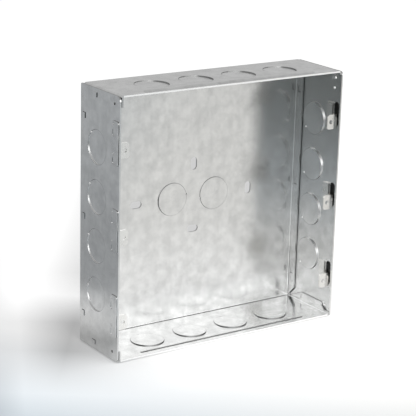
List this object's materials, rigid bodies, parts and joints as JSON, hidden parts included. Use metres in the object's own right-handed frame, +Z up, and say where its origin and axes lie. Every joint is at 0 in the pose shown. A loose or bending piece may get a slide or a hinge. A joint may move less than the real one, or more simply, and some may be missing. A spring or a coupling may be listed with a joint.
{
  "type": "concealed wiring box",
  "caption": "Shallow square sheet steel back box, open at the front, with knockouts in every wall, a stiffening bead and slide lugs for cover screws.",
  "frame": {"origin": "centre of the outer face of the back", "axes": "+X to the right seen from the open front, +Y out of the back towards the wall, +Z up"},
  "size_m": [0.2012, 0.055, 0.2018],
  "materials": {
    "galvanised_sheet": "hot-dip galvanised, soft spangle, semi-gloss",
    "plated_lug": "bright zinc plate"
  },
  "bodies": {
    "box": {"box_wrap": "galvanised_sheet", "left_end_plate": "galvanised_sheet", "right_end_plate": "galvanised_sheet"},
    "left_top_lug_body": {"left_top_lug": "plated_lug"},
    "left_middle_lug_body": {"left_middle_lug": "plated_lug"},
    "left_bottom_lug_body": {"left_bottom_lug": "plated_lug"},
    "right_top_lug_body": {"right_top_lug": "plated_lug"},
    "right_middle_lug_body": {"right_middle_lug": "plated_lug"},
    "right_bottom_lug_body": {"right_bottom_lug": "plated_lug"}
  },
  "joints": [
    {"name": "left_top_lug_slide", "type": "slide", "parent": "box", "child": "left_top_lug_body", "axis": [0, 0, 1], "range_m": [0, 0.0112]},
    {"name": "left_middle_lug_slide", "type": "slide", "parent": "box", "child": "left_middle_lug_body", "axis": [0, 0, 1], "range_m": [0, 0.0112]},
    {"name": "left_bottom_lug_slide", "type": "slide", "parent": "box", "child": "left_bottom_lug_body", "axis": [0, 0, 1], "range_m": [0, 0.0112]},
    {"name": "right_top_lug_slide", "type": "slide", "parent": "box", "child": "right_top_lug_body", "axis": [0, 0, 1], "range_m": [0, 0.0112]},
    {"name": "right_middle_lug_slide", "type": "slide", "parent": "box", "child": "right_middle_lug_body", "axis": [0, 0, 1], "range_m": [0, 0.0112]},
    {"name": "right_bottom_lug_slide", "type": "slide", "parent": "box", "child": "right_bottom_lug_body", "axis": [0, 0, 1], "range_m": [0, 0.0112]}
  ]
}
